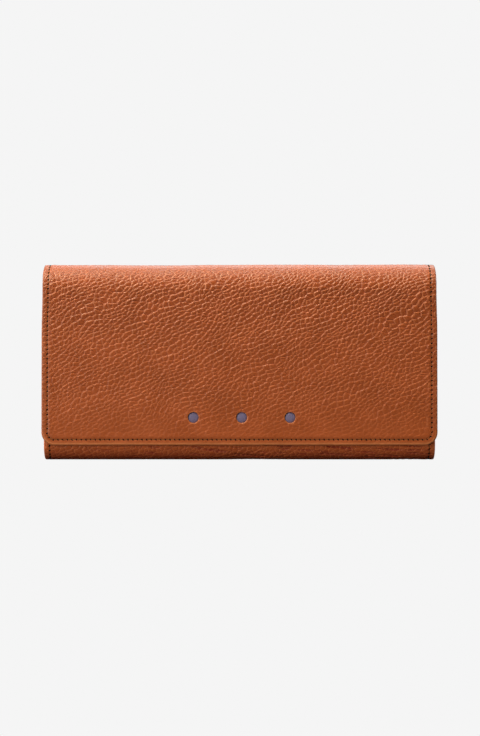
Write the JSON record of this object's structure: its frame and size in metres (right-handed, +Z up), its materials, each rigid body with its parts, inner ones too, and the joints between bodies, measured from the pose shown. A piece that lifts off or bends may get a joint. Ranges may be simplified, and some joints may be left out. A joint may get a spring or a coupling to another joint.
{
  "type": "long wallet",
  "caption": "Long wallet in pebbled leather: a full flap rolls over the top, side gussets fold out, with card slots and a zipped coin pocket inside.",
  "frame": {"origin": "middle of the base, at the centre of the overall box's footprint", "axes": "+X along the wallet's width, -Y out of the flap's face (the front), +Z up from the base to the top roll"},
  "size_m": [0.195, 0.026, 0.0965],
  "materials": {
    "tan_leather": "pebbled, satin",
    "lining_leather": "smooth, matt",
    "stiffener_board": "matt",
    "magnet": "plated",
    "zip_tape": "woven",
    "zip_metal": "polished"
  },
  "bodies": {
    "body": {"back_leather": "tan_leather", "back_lining": "lining_leather", "back_board": "stiffener_board", "bottom_leather": "tan_leather", "bottom_lining": "lining_leather", "rear_card_slot_1": "lining_leather", "rear_card_slot_2": "lining_leather", "rear_card_slot_3": "lining_leather", "pocket_anchor": "tan_leather", "gusset_feet": "tan_leather"},
    "roll_rear": {"roll_rear_leather": "tan_leather", "roll_rear_lining": "lining_leather"},
    "roll_crown": {"roll_crown_leather": "tan_leather", "roll_crown_lining": "lining_leather"},
    "roll_front": {"roll_front_leather": "tan_leather", "roll_front_lining": "lining_leather"},
    "flap": {"flap_leather": "tan_leather", "flap_lining": "lining_leather", "flap_board": "stiffener_board", "dot_inlays": "lining_leather", "flap_magnet": "magnet"},
    "front_panel": {"front_leather": "tan_leather", "front_lining": "lining_leather", "front_board": "stiffener_board", "front_magnet": "magnet", "front_card_slot_1": "lining_leather", "front_card_slot_2": "lining_leather", "front_card_slot_3": "lining_leather"},
    "gusset_rear_left": {"gusset_rear_left": "tan_leather"},
    "gusset_rear_right": {"gusset_rear_right": "tan_leather"},
    "gusset_front_left": {"gusset_front_left": "tan_leather"},
    "gusset_front_right": {"gusset_front_right": "tan_leather"},
    "coin_pocket": {"pocket_front_wall": "lining_leather", "pocket_rear_wall": "lining_leather", "pocket_edge_strip": "lining_leather", "zip_tape_front": "zip_tape", "zip_tape_rear": "zip_tape", "zip_teeth_front": "zip_metal", "zip_teeth_rear": "zip_metal", "zip_stops": "zip_metal"},
    "zip_slider": {"zip_slider": "zip_metal", "zip_pull_pin": "zip_metal"},
    "zip_pull": {"zip_pull": "zip_metal"}
  },
  "joints": [
    {"name": "flap_open", "type": "hinge", "parent": "body", "child": "roll_rear", "pos_m": [0, 0.01201, 0.08847], "axis": [-1, 0, 0], "range_deg": [0, 45]},
    {"name": "roll_fold_2", "type": "hinge", "parent": "roll_rear", "child": "roll_crown", "pos_m": [0, 0.00498, 0.09551], "axis": [-1, 0, 0], "range_deg": [0, 45]},
    {"name": "roll_fold_3", "type": "hinge", "parent": "roll_crown", "child": "roll_front", "pos_m": [0, -0.00498, 0.09551], "axis": [-1, 0, 0], "range_deg": [0, 45]},
    {"name": "roll_fold_4", "type": "hinge", "parent": "roll_front", "child": "flap", "pos_m": [0, -0.01201, 0.08847], "axis": [-1, 0, 0], "range_deg": [0, 45]},
    {"name": "front_panel_tilt", "type": "hinge", "parent": "body", "child": "front_panel", "pos_m": [0, -0.0106, 0.008], "axis": [1, 0, 0], "range_deg": [0, 12]},
    {"name": "gusset_rear_left_fold", "type": "hinge", "parent": "body", "child": "gusset_rear_left", "pos_m": [-0.094, 0.0102, 0.009], "axis": [0, 0, -1], "range_deg": [0, 29]},
    {"name": "gusset_rear_right_fold", "type": "hinge", "parent": "body", "child": "gusset_rear_right", "pos_m": [0.094, 0.0102, 0.009], "axis": [0, 0, 1], "range_deg": [0, 29]},
    {"name": "gusset_front_left_fold", "type": "hinge", "parent": "front_panel", "child": "gusset_front_left", "pos_m": [-0.094, -0.0078, 0.009], "axis": [0, 0, 1], "range_deg": [0, 29]},
    {"name": "gusset_front_right_fold", "type": "hinge", "parent": "front_panel", "child": "gusset_front_right", "pos_m": [0.094, -0.0078, 0.009], "axis": [0, 0, -1], "range_deg": [0, 29]},
    {"name": "coin_pocket_tilt", "type": "hinge", "parent": "body", "child": "coin_pocket", "pos_m": [0, 0.0012, 0.0043], "axis": [1, 0, 0], "range_deg": [0, 6]},
    {"name": "zip_slide", "type": "slide", "parent": "coin_pocket", "child": "zip_slider", "axis": [-1, 0, 0], "range_m": [0, 0.116]},
    {"name": "zip_pull_swing", "type": "hinge", "parent": "zip_slider", "child": "zip_pull", "pos_m": [0.058, 0.0012, 0.0775], "axis": [0, -1, 0], "range_deg": [0, 180]}
  ],
  "couplings": [
    {"joint": "roll_fold_2", "follows": "flap_open", "ratio": 1},
    {"joint": "roll_fold_3", "follows": "flap_open", "ratio": 1},
    {"joint": "roll_fold_4", "follows": "flap_open", "ratio": 1},
    {"joint": "front_panel_tilt", "follows": "flap_open", "ratio": 0.2666},
    {"joint": "gusset_rear_left_fold", "follows": "flap_open", "ratio": 0.6444},
    {"joint": "gusset_rear_right_fold", "follows": "flap_open", "ratio": 0.6444},
    {"joint": "gusset_front_left_fold", "follows": "flap_open", "ratio": 0.6444},
    {"joint": "gusset_front_right_fold", "follows": "flap_open", "ratio": 0.6444},
    {"joint": "coin_pocket_tilt", "follows": "flap_open", "ratio": 0.1333}
  ]
}
